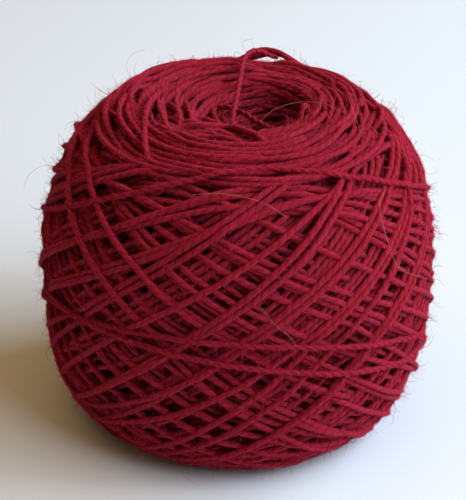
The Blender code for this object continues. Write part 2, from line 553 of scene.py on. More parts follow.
# flat arcs of the upper lip, so many in every few of them on its front
lipTurns = {
    "count": 24,
    "fromCrest": (1.0, 13.0),
    "front": (-2.4, -0.7),
    "frontShare": (3, 5),
    "spread": 0.8,
    "span": (0.7, 1.15),
    "bow": -0.10,
    "thickness": 0.88,
}


def layShoulders(winding):
    for (count, low, high), direction in ((shoulderTurns["upper"], 1), (shoulderTurns["lower"], -1)):
        for index in range(count):
            middle = waistRun + direction * (high - (high - low) * (index + 0.5) / count) * mm
            bow = direction * shoulderTurns["bow"]
            layArc(winding, middle, shoulderTurns["spread"] * mm, bow, "shoulder", span=shoulderTurns["span"])


def layLip(winding):
    low, high = lipTurns["fromCrest"]
    atFront, every = lipTurns["frontShare"]
    for index in range(lipTurns["count"]):
        middle = crestRun - (high - (high - low) * index / lipTurns["count"]) * mm
        around = lipTurns["front"] if index % every < atFront else None
        layArc(winding, middle, lipTurns["spread"] * mm, lipTurns["bow"], "crest", span=lipTurns["span"],
               around=around, thickness=lipTurns["thickness"])


def throughPoints(points, step):
    # smooth curve through the points, at even steps
    knots = np.vstack([2 * points[0] - points[1], points, 2 * points[-1] - points[-2]])
    curve = []
    for before, first, last, after in zip(knots, knots[1:], knots[2:], knots[3:]):
        for t in np.arange(24) / 24:
            point = 2 * first + (last - before) * t + (2 * before - 5 * first + 4 * last - after) * t ** 2
            curve.append((point + (3 * first - before - 3 * last + after) * t ** 3) / 2)
    curve = np.array(curve + [points[-1]])
    s = np.concatenate([[0], np.cumsum(np.linalg.norm(np.diff(curve, axis=0), axis=1))])
    even = np.linspace(0, s[-1], max(int(s[-1] / step), 3) + 1)
    return np.stack([np.interp(even, s, curve[:, k]) for k in range(curve.shape[1])], 1)


# strands that lie across the dish, through these points in millimetres
dishStrands = {
    "thickness": 1.02,
    "sinkDepth": 2.4,
    "evening": 6,
    "routes": (
        ((-14.5, 12.0), (-17.6, 7.0), (-18.8, 2.3), (-20.0, -5.0), (-20.2, -11.0), (-20.0, -17.0),
         (-19.2, -24.0)),
        ((-12.5, -6.0), (-9.8, -8.4), (-7.1, -9.0), (-4.3, -7.4), (-1.2, -7.6), (1.4, -10.4), (3.4, -15.0),
         (8.0, -20.0)),
        ((-13.5, -9.6), (-9.8, -10.4), (-7.0, -10.6), (-4.4, -9.0), (-2.0, -9.0), (0.2, -12.2), (2.6, -17.0),
         (7.0, -22.0)),
    ),
}


def layDish(winding):
    for route in dishStrands["routes"]:
        points = throughPoints(np.array(route) * mm, yarn["sample"])
        places = np.array([placeOnTop(x, y) for x, y in points])
        run = smoothed(places[:, 0], dishStrands["evening"])
        azimuth = smoothed(np.unwrap(places[:, 1]), dishStrands["evening"])
        winding.lay(run, azimuth, "dish", thickness=dishStrands["thickness"],
                    sinkDepth=dishStrands["sinkDepth"])


# single turns, by the height of their middle, their rise, the azimuth of their high side, where they start
# and how far they go round, in millimetres and degrees: the last turns, and two between the last groups
lastTurns = (
    (52.6, 21.5, -83.0, 60.0, 400.0),
    (24.4, 16.0, -105.0, 70.0, 365.0),
    (25.7, 11.8, -130.0, 75.0, 380.0),
)
crossTurns = (
    (41.0, 31.0, 176.0, 60.0, 245.0),
    (39.0, 33.0, 158.0, 55.0, 250.0),
)
singleTurns = {"knots": 14, "wander": 0.3, "thickness": 1.02}


def layLevel(winding, turns, kind):
    heights = rings[sideRows, 1]
    for middle, rise, highSide, start, sweep in turns:
        samples = int(math.radians(sweep) * form["radius"] / yarn["sample"])
        azimuth = math.radians(start) + np.linspace(0, math.radians(sweep), samples)
        level = (middle + rise * np.cos(azimuth - math.radians(highSide))) * mm
        drift = winding.wander(samples, singleTurns["knots"], singleTurns["wander"] * mm)
        winding.lay(np.interp(level, heights, runs[sideRows]) + drift, azimuth, kind,
                    thickness=singleTurns["thickness"])


# inner end of the yarn, out of the dish and over the back rim
inside = {
    "diameter": 0.0013,
    "step": 0.0004,
    "unevenness": 0.03,
    "unevenTurn": 1100.0,
    "route": (
        (-1.40, -4.8, 72.9), (-1.15, -3.4, 74.2), (-0.85, -1.6, 75.1), (-0.45, 1.0, 75.9), (-0.05, 4.6, 76.6),
        (0.40, 9.0, 77.3), (0.85, 13.6, 78.0), (1.35, 18.0, 78.6), (2.40, 21.5, 78.8), (3.60, 24.0, 78.5),
        (4.75, 25.8, 77.8), (6.00, 27.2, 76.8), (7.50, 28.2, 75.7), (9.20, 29.0, 74.8),
    ),
    "heldBy": ((1.05, 1.45), (0.95, 1.35)),
    # the end that is held, in millimetres, and the radius in metres of the ring it lies on
    "heldLength": 4.0,
    "heldRing": 0.029,
    # how far the turns over it rise, in millimetres, the reach of the rise and the samples it is evened over
    "heldRise": 0.4,
    "overRise": 1.15,
    "riseReach": 0.009,
    "evening": 7,
    # the holding turns: where the first lies, how far apart they are, their spread and bow, and how far
    # round their middles may be
    "heldFrom": 0.6,
    "heldApart": 1.4,
    "heldSpread": 0.1,
    "heldBow": -0.06,
    "heldWander": 0.1,
}


def holdInside(winding):
    # the far end of the inner yarn lies under two turns round the crest
    points = throughPoints(np.array(inside["route"]) * mm, yarn["sample"])
    points = points[-int(inside["heldLength"] * mm / yarn["sample"]):]
    for x, y, z in points:
        run, azimuth = placeOnTop(x, y)
        for across in np.linspace(-0.9, 0.9, 7) * yarn["radius"]:
            where = cellsAt(np.array([run]), np.array([azimuth + across / inside["heldRing"]]))
            height = z - np.interp(run, runs, rings[:, 1]) + inside["heldRise"] * mm
            winding.top[where] = np.maximum(winding.top[where], height)
    end = placeOnTop(points[-1, 0], points[-1, 1])
    around = (end[1] - inside["heldWander"], end[1] + inside["heldWander"])
    for index, span in enumerate(inside["heldBy"]):
        middle = end[0] + (inside["heldFrom"] - inside["heldApart"] * index) * mm
        layArc(winding, middle, inside["heldSpread"] * mm, inside["heldBow"], "held", span=span,
               around=around)


# the ball is wound more than once, between these depths in millimetres, to end level with the outline
windings = {"seed": 7, "attempts": 3, "leastDepth": 0.6, "mostDepth": 9.0}


def windBall(depth):
    winding = Winding(depth, windings["seed"])
    layPoles(winding)
    leads, opens = leadsOfTurns(winding)
    sizes = {"upper": sideTurns["firstUpper"] * mm, "lower": sideTurns["firstLower"] * mm, "drift": None}
    lastRound = int(np.argmax(leads[-1] - leads < 2 * math.pi))
    laySide(winding, leads, opens, 0, lastRound, sizes)
    layShoulders(winding)
    lastGroups = int(np.argmax(leads > math.radians(sideTurns["crossLead"])))
    laySide(winding, leads, opens, lastRound, lastGroups, sizes)
    layLevel(winding, crossTurns, "outer")
    laySide(winding, leads, opens, lastGroups, len(leads) - 1, sizes)
    layLip(winding)
    layDish(winding)
    holdInside(winding)
    layLevel(winding, lastTurns, "waist")
    return winding


startDepth = np.interp(runs / mm, *zip(*firstDepth)) * mm
for attempt in range(windings["attempts"]):
    winding = windBall(startDepth)
    level = winding.level()
    print("winding", attempt + 1, "stands over by mm", np.round(level.mean(axis=1)[::40] / mm, 1))
    if attempt + 1 < windings["attempts"]:
        startDepth = startDepth + level.mean(axis=1)
        startDepth = np.clip(startDepth, windings["leastDepth"] * mm, windings["mostDepth"] * mm)


def overInside(strand):
    # these turns rise over the far end of the inner yarn
    points = surface(strand["run"], strand["azimuth"], strand["height"])
    height = strand["height"].copy()
    for x, y, z in np.array(inside["route"][-3:]) * mm:
        run, azimuth = placeOnTop(x, y)
        crown = z - np.interp(run, runs, rings[:, 1]) + inside["overRise"] * mm
        away = np.hypot(points[:, 0] - x, points[:, 1] - y)
        height = np.maximum(height, crown - away ** 2 / inside["riseReach"])
    return smoothed(height, inside["evening"])


# turns that stand proud are pressed down, and the deeper ones lie closer
pressing = {"proud": 0.0003, "proudShare": 0.20, "deep": -0.0004, "deepShare": 0.62}


def pressed(height):
    proud = pressing["proud"] + (height - pressing["proud"]) * pressing["proudShare"]
    deep = pressing["deep"] + (height - pressing["deep"]) * pressing["deepShare"]
    return np.where(height > pressing["proud"], proud, np.where(height < pressing["deep"], deep, height))


shown = winding.shown()
for strand in winding.strands:
    strand["height"] = pressed(strand["height"] - level[cellsAt(strand["run"], strand["azimuth"])])
    if strand["kind"] == "held":
        strand["height"] = overInside(strand)
lengths = {}
for strand in winding.strands:
    lengths[strand["kind"]] = lengths.get(strand["kind"], 0) + strand["s"][-1]
print("metres laid:", {kind: round(float(length), 2) for kind, length in lengths.items()})
print("turn samples", winding.total, "that show", int(shown.sum()))


class Socket:
    # shader maths on a node's output
    def __init__(self, tree, link=None):
        self.tree = tree
        self.link = link

    def node(self, kind, inputs=(), output=0, **settings):
        made = self.tree.nodes.new(kind)
        for name, value in settings.items():
            setattr(made, name, value)
        for name, value in dict(inputs).items():
            if isinstance(value, Socket):
                self.tree.links.new(value.link, made.inputs[name])
            else:
                made.inputs[name].default_value = value
        return Socket(self.tree, made.outputs[output])

    def maths(self, operation, first, second=0.0):
        return self.node("ShaderNodeMath", {0: first, 1: second}, operation=operation)

    def __add__(self, other):
        return self.maths("ADD", self, other)

    def __radd__(self, other):
        return self.maths("ADD", other, self)

    def __sub__(self, other):
        return self.maths("SUBTRACT", self, other)

    def __rsub__(self, other):
        return self.maths("SUBTRACT", other, self)

    def __mul__(self, other):
        return self.maths("MULTIPLY", self, other)

    def __rmul__(self, other):
        return self.maths("MULTIPLY", other, self)

    def spread(self, low, high):
        return self.node("ShaderNodeMapRange", {"Value": self, "From Min": low, "From Max": high})

    def mixed(self, first, second):
        made = self.tree.nodes.new("ShaderNodeMix")
        made.data_type = "RGBA"
        self.tree.links.new(self.link, made.inputs["Factor"])
        for name, value in (("A", first), ("B", second)):
            target = [i for i in made.inputs if i.name == name and i.type == "RGBA"][0]
            if isinstance(value, Socket):
                self.tree.links.new(value.link, target)
            else:
                target.default_value = value
        return Socket(self.tree, [o for o in made.outputs if o.type == "RGBA"][0])


wool = {
    # deep: the dark colour of painted shade, in the grooves between plies and on the deeper turns
    "deep": (0.175, 0.0095, 0.0165, 1.0),
    "body": (0.288, 0.0100, 0.0205, 1.0),
    "fibre": (0.470, 0.0195, 0.0530, 1.0),
    "roughness": 0.85,
    "sheen": 0.19,
    "sheenRoughness": 0.45,
    "sheenTint": (1.0, 0.18, 0.40, 1.0),
    "specular": 0.05,
    "grooveShade": 0.95,
    "depthShade": 0.48,
    "relief": 0.00045,
    "reliefStrength": 0.9,
    # cells of the fibre pattern per radius round the yarn and per millimetre along it, and how much shows
    "fibreAround": 2.4,
    "fibreAlong": 0.5,
    "fibreScale": 1.7,
    "fibreShare": 0.50,
    "tuftScale": 0.35,
    "tuftShare": 0.20,
}


def woolMaterial():
    # two plies turn round each other, with fibres along them; painted shade darkens the groove between them
    # and the turns that lie deeper
    material = bpy.data.materials.new("crimson_two_ply")
    material.use_nodes = True
    tree = material.node_tree
    shader = tree.nodes["Principled BSDF"]
    start = Socket(tree)
    place = start.node("ShaderNodeAttribute", output="Vector", attribute_name="yarnPlace")
    plyTurn = start.node("ShaderNodeAttribute", output="Fac", attribute_name="plyTurn")
    tone = start.node("ShaderNodeAttribute", output="Fac", attribute_name="tone")
    x = start.node("ShaderNodeSeparateXYZ", {"Vector": place}, output="X")
    y = start.node("ShaderNodeSeparateXYZ", {"Vector": place}, output="Y")
    along = start.node("ShaderNodeSeparateXYZ", {"Vector": place}, output="Z")
    angle = start.maths("ARCTAN2", y, x) + plyTurn
    across = start.maths("COSINE", angle)
    lobe = start.maths("ABSOLUTE", across)
    around = wool["fibreAround"]
    upright = start.maths("SINE", angle)
    onPly = start.node("ShaderNodeCombineXYZ", {"X": across * around, "Y": upright * around,
                                                "Z": along * wool["fibreAlong"]})
    fibres = start.node("ShaderNodeTexNoise", {"Vector": onPly, "Scale": wool["fibreScale"], "Detail": 3.0,
                                               "Roughness": 0.6})
    tufts = start.node("ShaderNodeTexNoise", {"Vector": place, "Scale": wool["tuftScale"], "Detail": 2.0})
    groove = 1 - lobe.spread(0.0, 0.70)
    pale = fibres.spread(0.36, 0.70) * wool["fibreShare"] + tufts.spread(0.35, 0.65) * wool["tuftShare"]
    body = pale.mixed(wool["body"], wool["fibre"])
    # painted shade: the grooves and the deeper turns are mixed towards the deep colour
    shade = (groove * wool["grooveShade"] + (1 - tone) * wool["depthShade"]).spread(0.0, 1.0)
    tree.links.new(shade.mixed(body, wool["deep"]).link, shader.inputs["Base Color"])
    shader.inputs["Roughness"].default_value = wool["roughness"]
    shader.inputs["Sheen Weight"].default_value = wool["sheen"]
    shader.inputs["Sheen Roughness"].default_value = wool["sheenRoughness"]
    shader.inputs["Sheen Tint"].default_value = wool["sheenTint"]
    shader.inputs["Specular IOR Level"].default_value = wool["specular"]
    height = lobe.spread(0.0, 0.9) * 0.45 + fibres * 0.8
    raised = start.node("ShaderNodeBump", {"Height": height, "Strength": wool["reliefStrength"],
                                           "Distance": wool["relief"]}, output="Normal")
    tree.links.new(raised.link, shader.inputs["Normal"])
    return material


def plainMaterial(name, colour, roughness):
    material = bpy.data.materials.new(name)
    material.use_nodes = True
    shader = material.node_tree.nodes["Principled BSDF"]
    shader.inputs["Base Color"].default_value = colour
    shader.inputs["Roughness"].default_value = roughness
    shader.inputs["Specular IOR Level"].default_value = wool["specular"]
    return material


haze = {
    "size": 1.44,
    "step": 1.9,
    "colour": (0.42, 0.0120, 0.0400, 1.0),
    "kinds": ("outer", "waist", "crest", "dish", "shoulder"),
    "opacity": 0.52,
    "open": (0.53, 0.62),
    "roughness": 0.9,
    "margin": 0.5,
    # turn and stretch of the streaks against the yarn
    "turn": (0.5, 0.3, 0.4),
    "stretch": (2.2, 2.2, 0.9),
    "scale": 1.9,
}


def hazeMaterial():
    # short fibres that stand off the yarn: streaks with gaps between them
    material = plainMaterial("crimson_haze", haze["colour"], haze["roughness"])
    tree = material.node_tree
    start = Socket(tree)
    place = start.node("ShaderNodeAttribute", output="Vector", attribute_name="yarnPlace")
    turned = start.node("ShaderNodeMapping", {"Vector": place, "Rotation": haze["turn"],
                                              "Scale": haze["stretch"]})
    streaks = start.node("ShaderNodeTexNoise", {"Vector": turned, "Scale": haze["scale"], "Detail": 2.0,
                                                "Roughness": 0.5})
    cover = streaks.spread(*haze["open"]) * haze["opacity"]
    tree.links.new(cover.link, tree.nodes["Principled BSDF"].inputs["Alpha"])
    return material


class Nodes:
    # geometry nodes with named inputs
    def __init__(self, name):
        self.tree = bpy.data.node_groups.new(name, "GeometryNodeTree")
        self.tree.interface.new_socket("Geometry", in_out="INPUT", socket_type="NodeSocketGeometry")
        self.tree.interface.new_socket("Geometry", in_out="OUTPUT", socket_type="NodeSocketGeometry")
        self.enter = self.tree.nodes.new("NodeGroupInput")
        self.leave = self.tree.nodes.new("NodeGroupOutput")
        self.geometry = self.enter.outputs["Geometry"]

    def value(self, name, kind, default):
        made = self.tree.interface.new_socket(name, in_out="INPUT", socket_type=kind)
        made.default_value = default
        return self.enter.outputs[name]

    def add(self, kind, inputs=(), output=0, **settings):
        made = self.tree.nodes.new(kind)
        for name, value in settings.items():
            setattr(made, name, value)
        for name, value in dict(inputs).items():
            for single in value if isinstance(value, list) else [value]:
                if isinstance(single, bpy.types.NodeSocket):
                    self.tree.links.new(single, made.inputs[name])
                else:
                    made.inputs[name].default_value = single
        return made.outputs[output]

    def maths(self, operation, first, second=0.0):
        return self.add("ShaderNodeMath", {0: first, 1: second}, operation=operation)

    def named(self, name, kind="FLOAT"):
        return self.add("GeometryNodeInputNamedAttribute", {"Name": name}, data_type=kind)

    def store(self, geometry, name, value, kind="FLOAT"):
        inputs = {"Geometry": geometry, "Name": name, "Value": value}
        return self.add("GeometryNodeStoreNamedAttribute", inputs, data_type=kind, domain="POINT")

    def swept(self, line, section):
        # a closed tube of this section along a line, at the line's own radius
        inputs = {"Curve": line, "Profile Curve": section, "Fill Caps": True,
                  "Scale": self.add("GeometryNodeInputRadius")}
        return self.add("GeometryNodeCurveToMesh", inputs)

    def finish(self, geometry, material):
        geometry = self.add("GeometryNodeSetShadeSmooth", {"Geometry": geometry, "Shade Smooth": True})
        geometry = self.add("GeometryNodeRealizeInstances", {"Geometry": geometry})
        geometry = self.add("GeometryNodeSetMaterial", {"Geometry": geometry, "Material": material})
        self.tree.links.new(geometry, self.leave.inputs["Geometry"])
        return self.tree


def yarnTree(material):
    # a tube along each line, twisted in shape (Twist 1) or in its paint only (Twist 0)
    nodes = Nodes("two_ply_yarn")
    radius = nodes.value("Yarn Radius", "NodeSocketFloat", yarn["radius"])
    pitch = nodes.value("Ply Pitch", "NodeSocketFloat", yarn["plyPitch"])
    pinch = nodes.value("Pinch", "NodeSocketFloat", 1.0)
    twist = nodes.value("Twist", "NodeSocketFloat", 0.0)
    corners = nodes.value("Corners", "NodeSocketInt", 6)
    along = nodes.named("along")
    turn = nodes.maths("DIVIDE", nodes.maths("MULTIPLY", along, 2 * math.pi), pitch)
    line = nodes.add("GeometryNodeMeshToCurve", {"Mesh": nodes.geometry})
    thick = nodes.maths("MULTIPLY", nodes.named("thick"), radius)
    line = nodes.add("GeometryNodeSetCurveRadius", {"Curve": line, "Radius": thick})
    tilt = nodes.maths("MULTIPLY", turn, twist)
    line = nodes.add("GeometryNodeSetCurveTilt", {"Curve": line, "Tilt": tilt})
    section = nodes.add("GeometryNodeCurvePrimitiveCircle", {"Resolution": corners, "Radius": 1.0})
    spot = nodes.add("GeometryNodeInputPosition")
    section = nodes.store(section, "ply", spot, "FLOAT_VECTOR")
    x = nodes.add("ShaderNodeSeparateXYZ", {0: spot}, output="X")
    y = nodes.add("ShaderNodeSeparateXYZ", {0: spot}, output="Y")
    narrowed = nodes.maths("MULTIPLY", y, pinch)
    squeezed = nodes.add("ShaderNodeCombineXYZ", {"X": x, "Y": narrowed})
    section = nodes.add("GeometryNodeSetPosition", {"Geometry": section, "Position": squeezed})
    tube = nodes.swept(line, section)
    ply = nodes.named("ply", "FLOAT_VECTOR")
    plyX = nodes.add("ShaderNodeSeparateXYZ", {0: ply}, output="X")
    plyY = nodes.add("ShaderNodeSeparateXYZ", {0: ply}, output="Y")
    inMillimetres = nodes.maths("MULTIPLY", along, 1 / mm)
    place = nodes.add("ShaderNodeCombineXYZ", {"X": plyX, "Y": plyY, "Z": inMillimetres})
    tube = nodes.store(tube, "yarnPlace", place, "FLOAT_VECTOR")
    tube = nodes.store(tube, "plyTurn", nodes.maths("MULTIPLY", turn, nodes.maths("SUBTRACT", 1.0, twist)))
    return nodes.finish(tube, material)


def hairTree(material, segments, bends):
    # bent hairs, one unit long, stood on points along their lean, at their size
    nodes = Nodes("wool_hair")
    radius = nodes.value("Hair Radius", "NodeSocketFloat", 0.013)
    seed = nodes.value("Seed", "NodeSocketInt", 5)
    narrowing = 0.7
    shapes = []
    for middle, end in bends:
        if middle is None:
            line = nodes.add("GeometryNodeCurvePrimitiveLine", {"Start": (0, 0, 0), "End": end})
        else:
            bend = {"Resolution": segments, "Start": (0, 0, 0), "Middle": middle, "End": end}
            line = nodes.add("GeometryNodeCurveQuadraticBezier", bend)
        along = nodes.add("GeometryNodeSplineParameter", output="Factor")
        taper = nodes.maths("SUBTRACT", 1.0, nodes.maths("MULTIPLY", along, narrowing))
        thick = nodes.maths("MULTIPLY", taper, radius)
        line = nodes.add("GeometryNodeSetCurveRadius", {"Curve": line, "Radius": thick})
        section = nodes.add("GeometryNodeCurvePrimitiveCircle", {"Resolution": 3, "Radius": 1.0})
        tube = nodes.swept(line, section)
        shapes.append(nodes.add("GeometryNodeGeometryToInstance", {"Geometry": tube}))
    joined = nodes.add("GeometryNodeJoinGeometry", {"Geometry": shapes})
    lean = nodes.named("lean", "FLOAT_VECTOR")
    upright = nodes.add("FunctionNodeAlignRotationToVector", {"Vector": lean}, axis="Z")
    roll = nodes.add("FunctionNodeAxisAngleToRotation", {"Axis": (0, 0, 1), "Angle": nodes.named("roll")})
    turned = nodes.add("FunctionNodeRotateRotation", {"Rotation": upright, "Rotate By": roll},
                       rotation_space="LOCAL")
    points = nodes.add("GeometryNodeMeshToPoints", {"Mesh": nodes.geometry})
    pick = nodes.tree.nodes.new("FunctionNodeRandomValue")
    pick.data_type = "INT"
    bounds = [i for i in pick.inputs if i.type == "INT" and i.name in ("Min", "Max")]
    bounds[0].default_value = 0
    bounds[1].default_value = len(bends) - 1
    nodes.tree.links.new(seed, pick.inputs["Seed"])
    index = [o for o in pick.outputs if o.type == "INT"][0]
    stood = {"Points": points, "Instance": joined, "Pick Instance": True, "Instance Index": index,
             "Rotation": turned, "Scale": nodes.named("size")}
    hairs = nodes.add("GeometryNodeInstanceOnPoints", stood)
    return nodes.finish(hairs, material)


def applyTree(name, mesh, tree, values):
    # runs a tree on a mesh and keeps the result as a plain mesh object at the origin
    holder = bpy.data.objects.new(name + "_line", mesh)
    bpy.context.scene.collection.objects.link(holder)
    modifier = holder.modifiers.new("build", "NODES")
    modifier.node_group = tree
    for item in tree.interface.items_tree:
        if item.item_type == "SOCKET" and item.in_out == "INPUT" and item.name in values:
            modifier[item.identifier] = values[item.name]
    view = bpy.context.evaluated_depsgraph_get()
    built = holder.evaluated_get(view)
    result = bpy.data.meshes.new_from_object(built, preserve_all_data_layers=True, depsgraph=view)
    result.name = name
    bpy.data.objects.remove(holder)
    made = bpy.data.objects.new(name, result)
    bpy.context.scene.collection.objects.link(made)
    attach(made, "root")
    print(name, "triangles", sum(len(polygon.vertices) - 2 for polygon in result.polygons))
    return made


def pointMesh(name, points, edges=(), floats=(), vectors=()):
    mesh = bpy.data.meshes.new(name)
    mesh.vertices.add(len(points))
    mesh.vertices.foreach_set("co", np.asarray(points, np.float32).ravel())
    if len(edges):
        mesh.edges.add(len(edges))
        mesh.edges.foreach_set("vertices", np.asarray(edges, np.int32).ravel())
    for key, values in dict(floats).items():
        mesh.attributes.new(key, "FLOAT", "POINT").data.foreach_set("value", np.asarray(values, np.float32))
    for key, values in dict(vectors).items():
        data = mesh.attributes.new(key, "FLOAT_VECTOR", "POINT").data
        data.foreach_set("vector", np.asarray(values, np.float32).ravel())
    mesh.update()
    return mesh


def lineMesh(name, chains):
    # chains of points with their length, thickness, and tone with painted shade, at each point
    counts = [len(chain["points"]) for chain in chains]
    starts = np.cumsum([0] + counts[:-1])
    edges = [np.stack([np.arange(n - 1), np.arange(1, n)], 1) + first for first, n in zip(starts, counts)]
    floats = {key: np.concatenate([chain[key] for chain in chains]) for key in ("along", "thick", "tone")}
    points = np.concatenate([chain["points"] for chain in chains])
    return pointMesh(name, points, np.concatenate(edges), floats)


# painted shade: how the tone darkens with depth under the surface and down the well
shadeDepth = {
    "side": 0.0042,
    "free": 0.0004,
    "wellTop": 0.0745,
    "well": 0.0070,
    "wellRadius": 0.0125,
    "wellEdge": 0.002,
}


def toneAndShadeAt(points, height, shade):
    # painted shade: darker with depth under the surface and down the well, plus each strand's own random tone
    tone = 1 + (height + shadeDepth["free"]) / shadeDepth["side"]
    middle = np.hypot(points[:, 0] - wellCentre[0], points[:, 1] - wellCentre[1])
    inWell = np.clip((shadeDepth["wellRadius"] - middle) / shadeDepth["wellEdge"], 0, 1)
    dark = np.clip(1 - (shadeDepth["wellTop"] - points[:, 2]) / shadeDepth["well"], 0, 1)
    return np.clip(tone * (1 - inWell * (1 - dark)) + shade, 0, 1)


shortestStretch = 6


def chainsOf(kinds, step, margin=3.0, size=1.0):
    # the stretches of these strands that show, with a margin at each end
    chains = []
    reach = int(margin * mm / yarn["sample"])
    for strand in winding.strands:
        if strand["kind"] not in kinds:
            continue
        count = len(strand["s"])
        seen = shown[strand["first"]:strand["first"] + count].astype(float)
        wide = np.convolve(seen, np.ones(2 * reach + 1), "same") > 0
        edge = np.flatnonzero(np.diff(np.concatenate([[0], wide.astype(int), [0]])))
        for first, last in zip(edge[::2], edge[1::2]):
            if last - first < shortestStretch:
                continue
            s = strand["s"]
            even = np.linspace(s[first], s[last - 1], max(int((s[last - 1] - s[first]) / step), 3) + 1)
            run, azimuth, height = (np.interp(even, s, strand[key]) for key in ("run", "azimuth", "height"))
            points = surface(run, azimuth, height)
            uneven = np.sin(even * yarn["unevenTurn"] + strand["first"])
            thick = strand["thickness"] * (1 + yarn["unevenness"] * uneven)
            points[:, 2] = np.maximum(points[:, 2], thick * yarn["radius"] * size)
            along = even + strand["first"] * yarn["plyOffset"] * mm
            chains.append({"points": points, "along": along, "thick": thick,
                           "tone": toneAndShadeAt(points, height, strand["shade"])})
    return chains


pieces = {
    # kinds of strand, point spacing in millimetres, corners of the section and whether its shape twists
    "outer_turns": (("outer",), 0.90, 6, 0.0),
    "second_turns": (("second",), 1.20, 6, 0.0),
    "inner_turns": (("inner",), 1.80, 6, 0.0),
    "well_turns": (("well",), 0.95, 6, 0.0),
    "crest_turns": (("crest", "dish", "held"), 0.70, 6, 0.0),
    "base_turns": (("base",), 1.40, 6, 0.0),
    "shoulder_turns": (("shoulder",), 0.90, 6, 0.0),
    "waist_turns": (("waist",), 0.45, 8, 1.0),
}
woolPaint = woolMaterial()
yarnNodes = yarnTree(woolPaint)
pinchOfTwist = 0.80
for name, (kinds, step, corners, twist) in pieces.items():
    values = {"Yarn Radius": yarn["radius"], "Ply Pitch": yarn["plyPitch"], "Corners": corners, "Twist": twist,
              "Pinch": 1 - (1 - pinchOfTwist) * twist}
    applyTree(name, lineMesh(name + "_line", chainsOf(kinds, step * mm)), yarnNodes, values)
hazeNodes = yarnTree(hazeMaterial())
hazeChains = chainsOf(haze["kinds"], haze["step"] * mm, haze["margin"], haze["size"])
applyTree("yarn_haze", lineMesh("yarn_haze_line", hazeChains), hazeNodes,
          {"Yarn Radius": yarn["radius"] * haze["size"], "Ply Pitch": yarn["plyPitch"], "Corners": 6})
print("turns are made")

# short strands that stand free in the dish: one across the well, a nub on its rim and a star in the gap
# each has its tone, which also paints its shade, and its route in millimetres
freeStep = 0.5 * mm
freeStrands = [
    (0.55, ((-5.0, 8.0, 71.3), (-2.0, 5.8, 72.3), (1.2, 2.4, 72.5), (4.6, -2.4, 72.3), (7.8, -6.8, 72.7),
            (10.5, -10.5, 73.8), (12.5, -13.0, 74.2))),
    (0.85, ((12.6, -8.6, 73.6), (13.6, -7.4, 76.0), (14.1, -6.6, 77.5), (14.6, -5.8, 77.8), (15.0, -5.0, 77.0),
            (15.2, -4.0, 75.0), (15.0, -3.0, 73.6))),
]
star = {
    "arms": 7,
    # tone of the arms, darkened as painted shade in the gap
    "tone": 0.75,
    "inner": 0.6,
    "middle": 2.0,
    "outer": 4.6,
    "bottom": 72.6,
    "rise": 1.0,
    "rim": 74.0,
    "rimTilt": 0.5,
    "unevenness": 0.3,
    "curl": 0.1,
}
for arm in range(star["arms"]):
    azimuth = 2 * math.pi * (arm + star["unevenness"] * math.sin(5 * arm)) / star["arms"]
    steps = (
        (star["inner"], star["bottom"]),
        (star["middle"], star["bottom"] + star["rise"]),
        (star["outer"], star["rim"] - star["rimTilt"] * math.cos(azimuth)),
    )
    route = []
    for reach, height in steps:
        angle = azimuth + star["curl"] * reach
        x = gap["centre"][0] / mm + reach * math.cos(angle)
        y = gap["centre"][1] / mm + reach * math.sin(angle)
        route.append((x, y, height))
    freeStrands.append((star["tone"], route))


def freeChain(route, step, tone):
    # an even strand through these points in millimetres
    points = throughPoints(np.array(route) * mm, step)
    count = len(points)
    return {"points": points, "along": np.arange(count) * step, "thick": np.ones(count),
            "tone": np.full(count, tone)}


chains = [freeChain(route, freeStep, tone) for tone, route in freeStrands]
twisted = {"Ply Pitch": yarn["plyPitch"], "Corners": 8, "Twist": 1.0, "Pinch": pinchOfTwist}
applyTree("dish_ends", lineMesh("dish_ends_line", chains), yarnNodes,
          {**twisted, "Yarn Radius": yarn["radius"]})

# loose hairs of the wool on the turns that show: short, long and curled
hairs = {
    # count, shortest and longest in millimetres, radius as a share of the length, segments and unit bends
    "short_hairs": (7500, 0.5, 1.3, 0.020, 1, (
        (None, (0, 0, 1.0)),
    )),
    "long_hairs": (8500, 1.0, 3.6, 0.017, 3, (
        ((0.15, 0, 0.5), (0.55, 0.1, 0.8)),
        ((-0.2, 0.1, 0.5), (0.3, 0.35, 0.85)),
        ((0.05, 0.3, 0.6), (0.4, 0.0, 0.9)),
    )),
    "curled_hairs": (4300, 1.8, 5.4, 0.015, 3, (
        ((0.5, 0, 0.4), (0.75, 0.45, 0.35)),
        ((-0.4, 0.3, 0.5), (0.5, 0.5, 0.6)),
        ((0.1, 0.6, 0.5), (0.8, 0.1, 0.55)),
    )),
}
hairLift = {
    "colour": (0.52, 0.030, 0.080, 1.0),
    "roughness": 0.8,
    "seed": 31,
    "pickSeed": 5,
    "upBelow": 0.007,
    "lowest": 0.002,
    "reach": 1.1,
    "sink": 0.9,
    "depth": 0.0016,
    "leanOut": (0.15, 1.0),
    "leanSide": 0.5,
    "leanAlong": 0.9,
    "leanAcross": 0.7,
    "lengths": (1.2, 2.0),
}
hairPaint = plainMaterial("crimson_hair", hairLift["colour"], hairLift["roughness"])


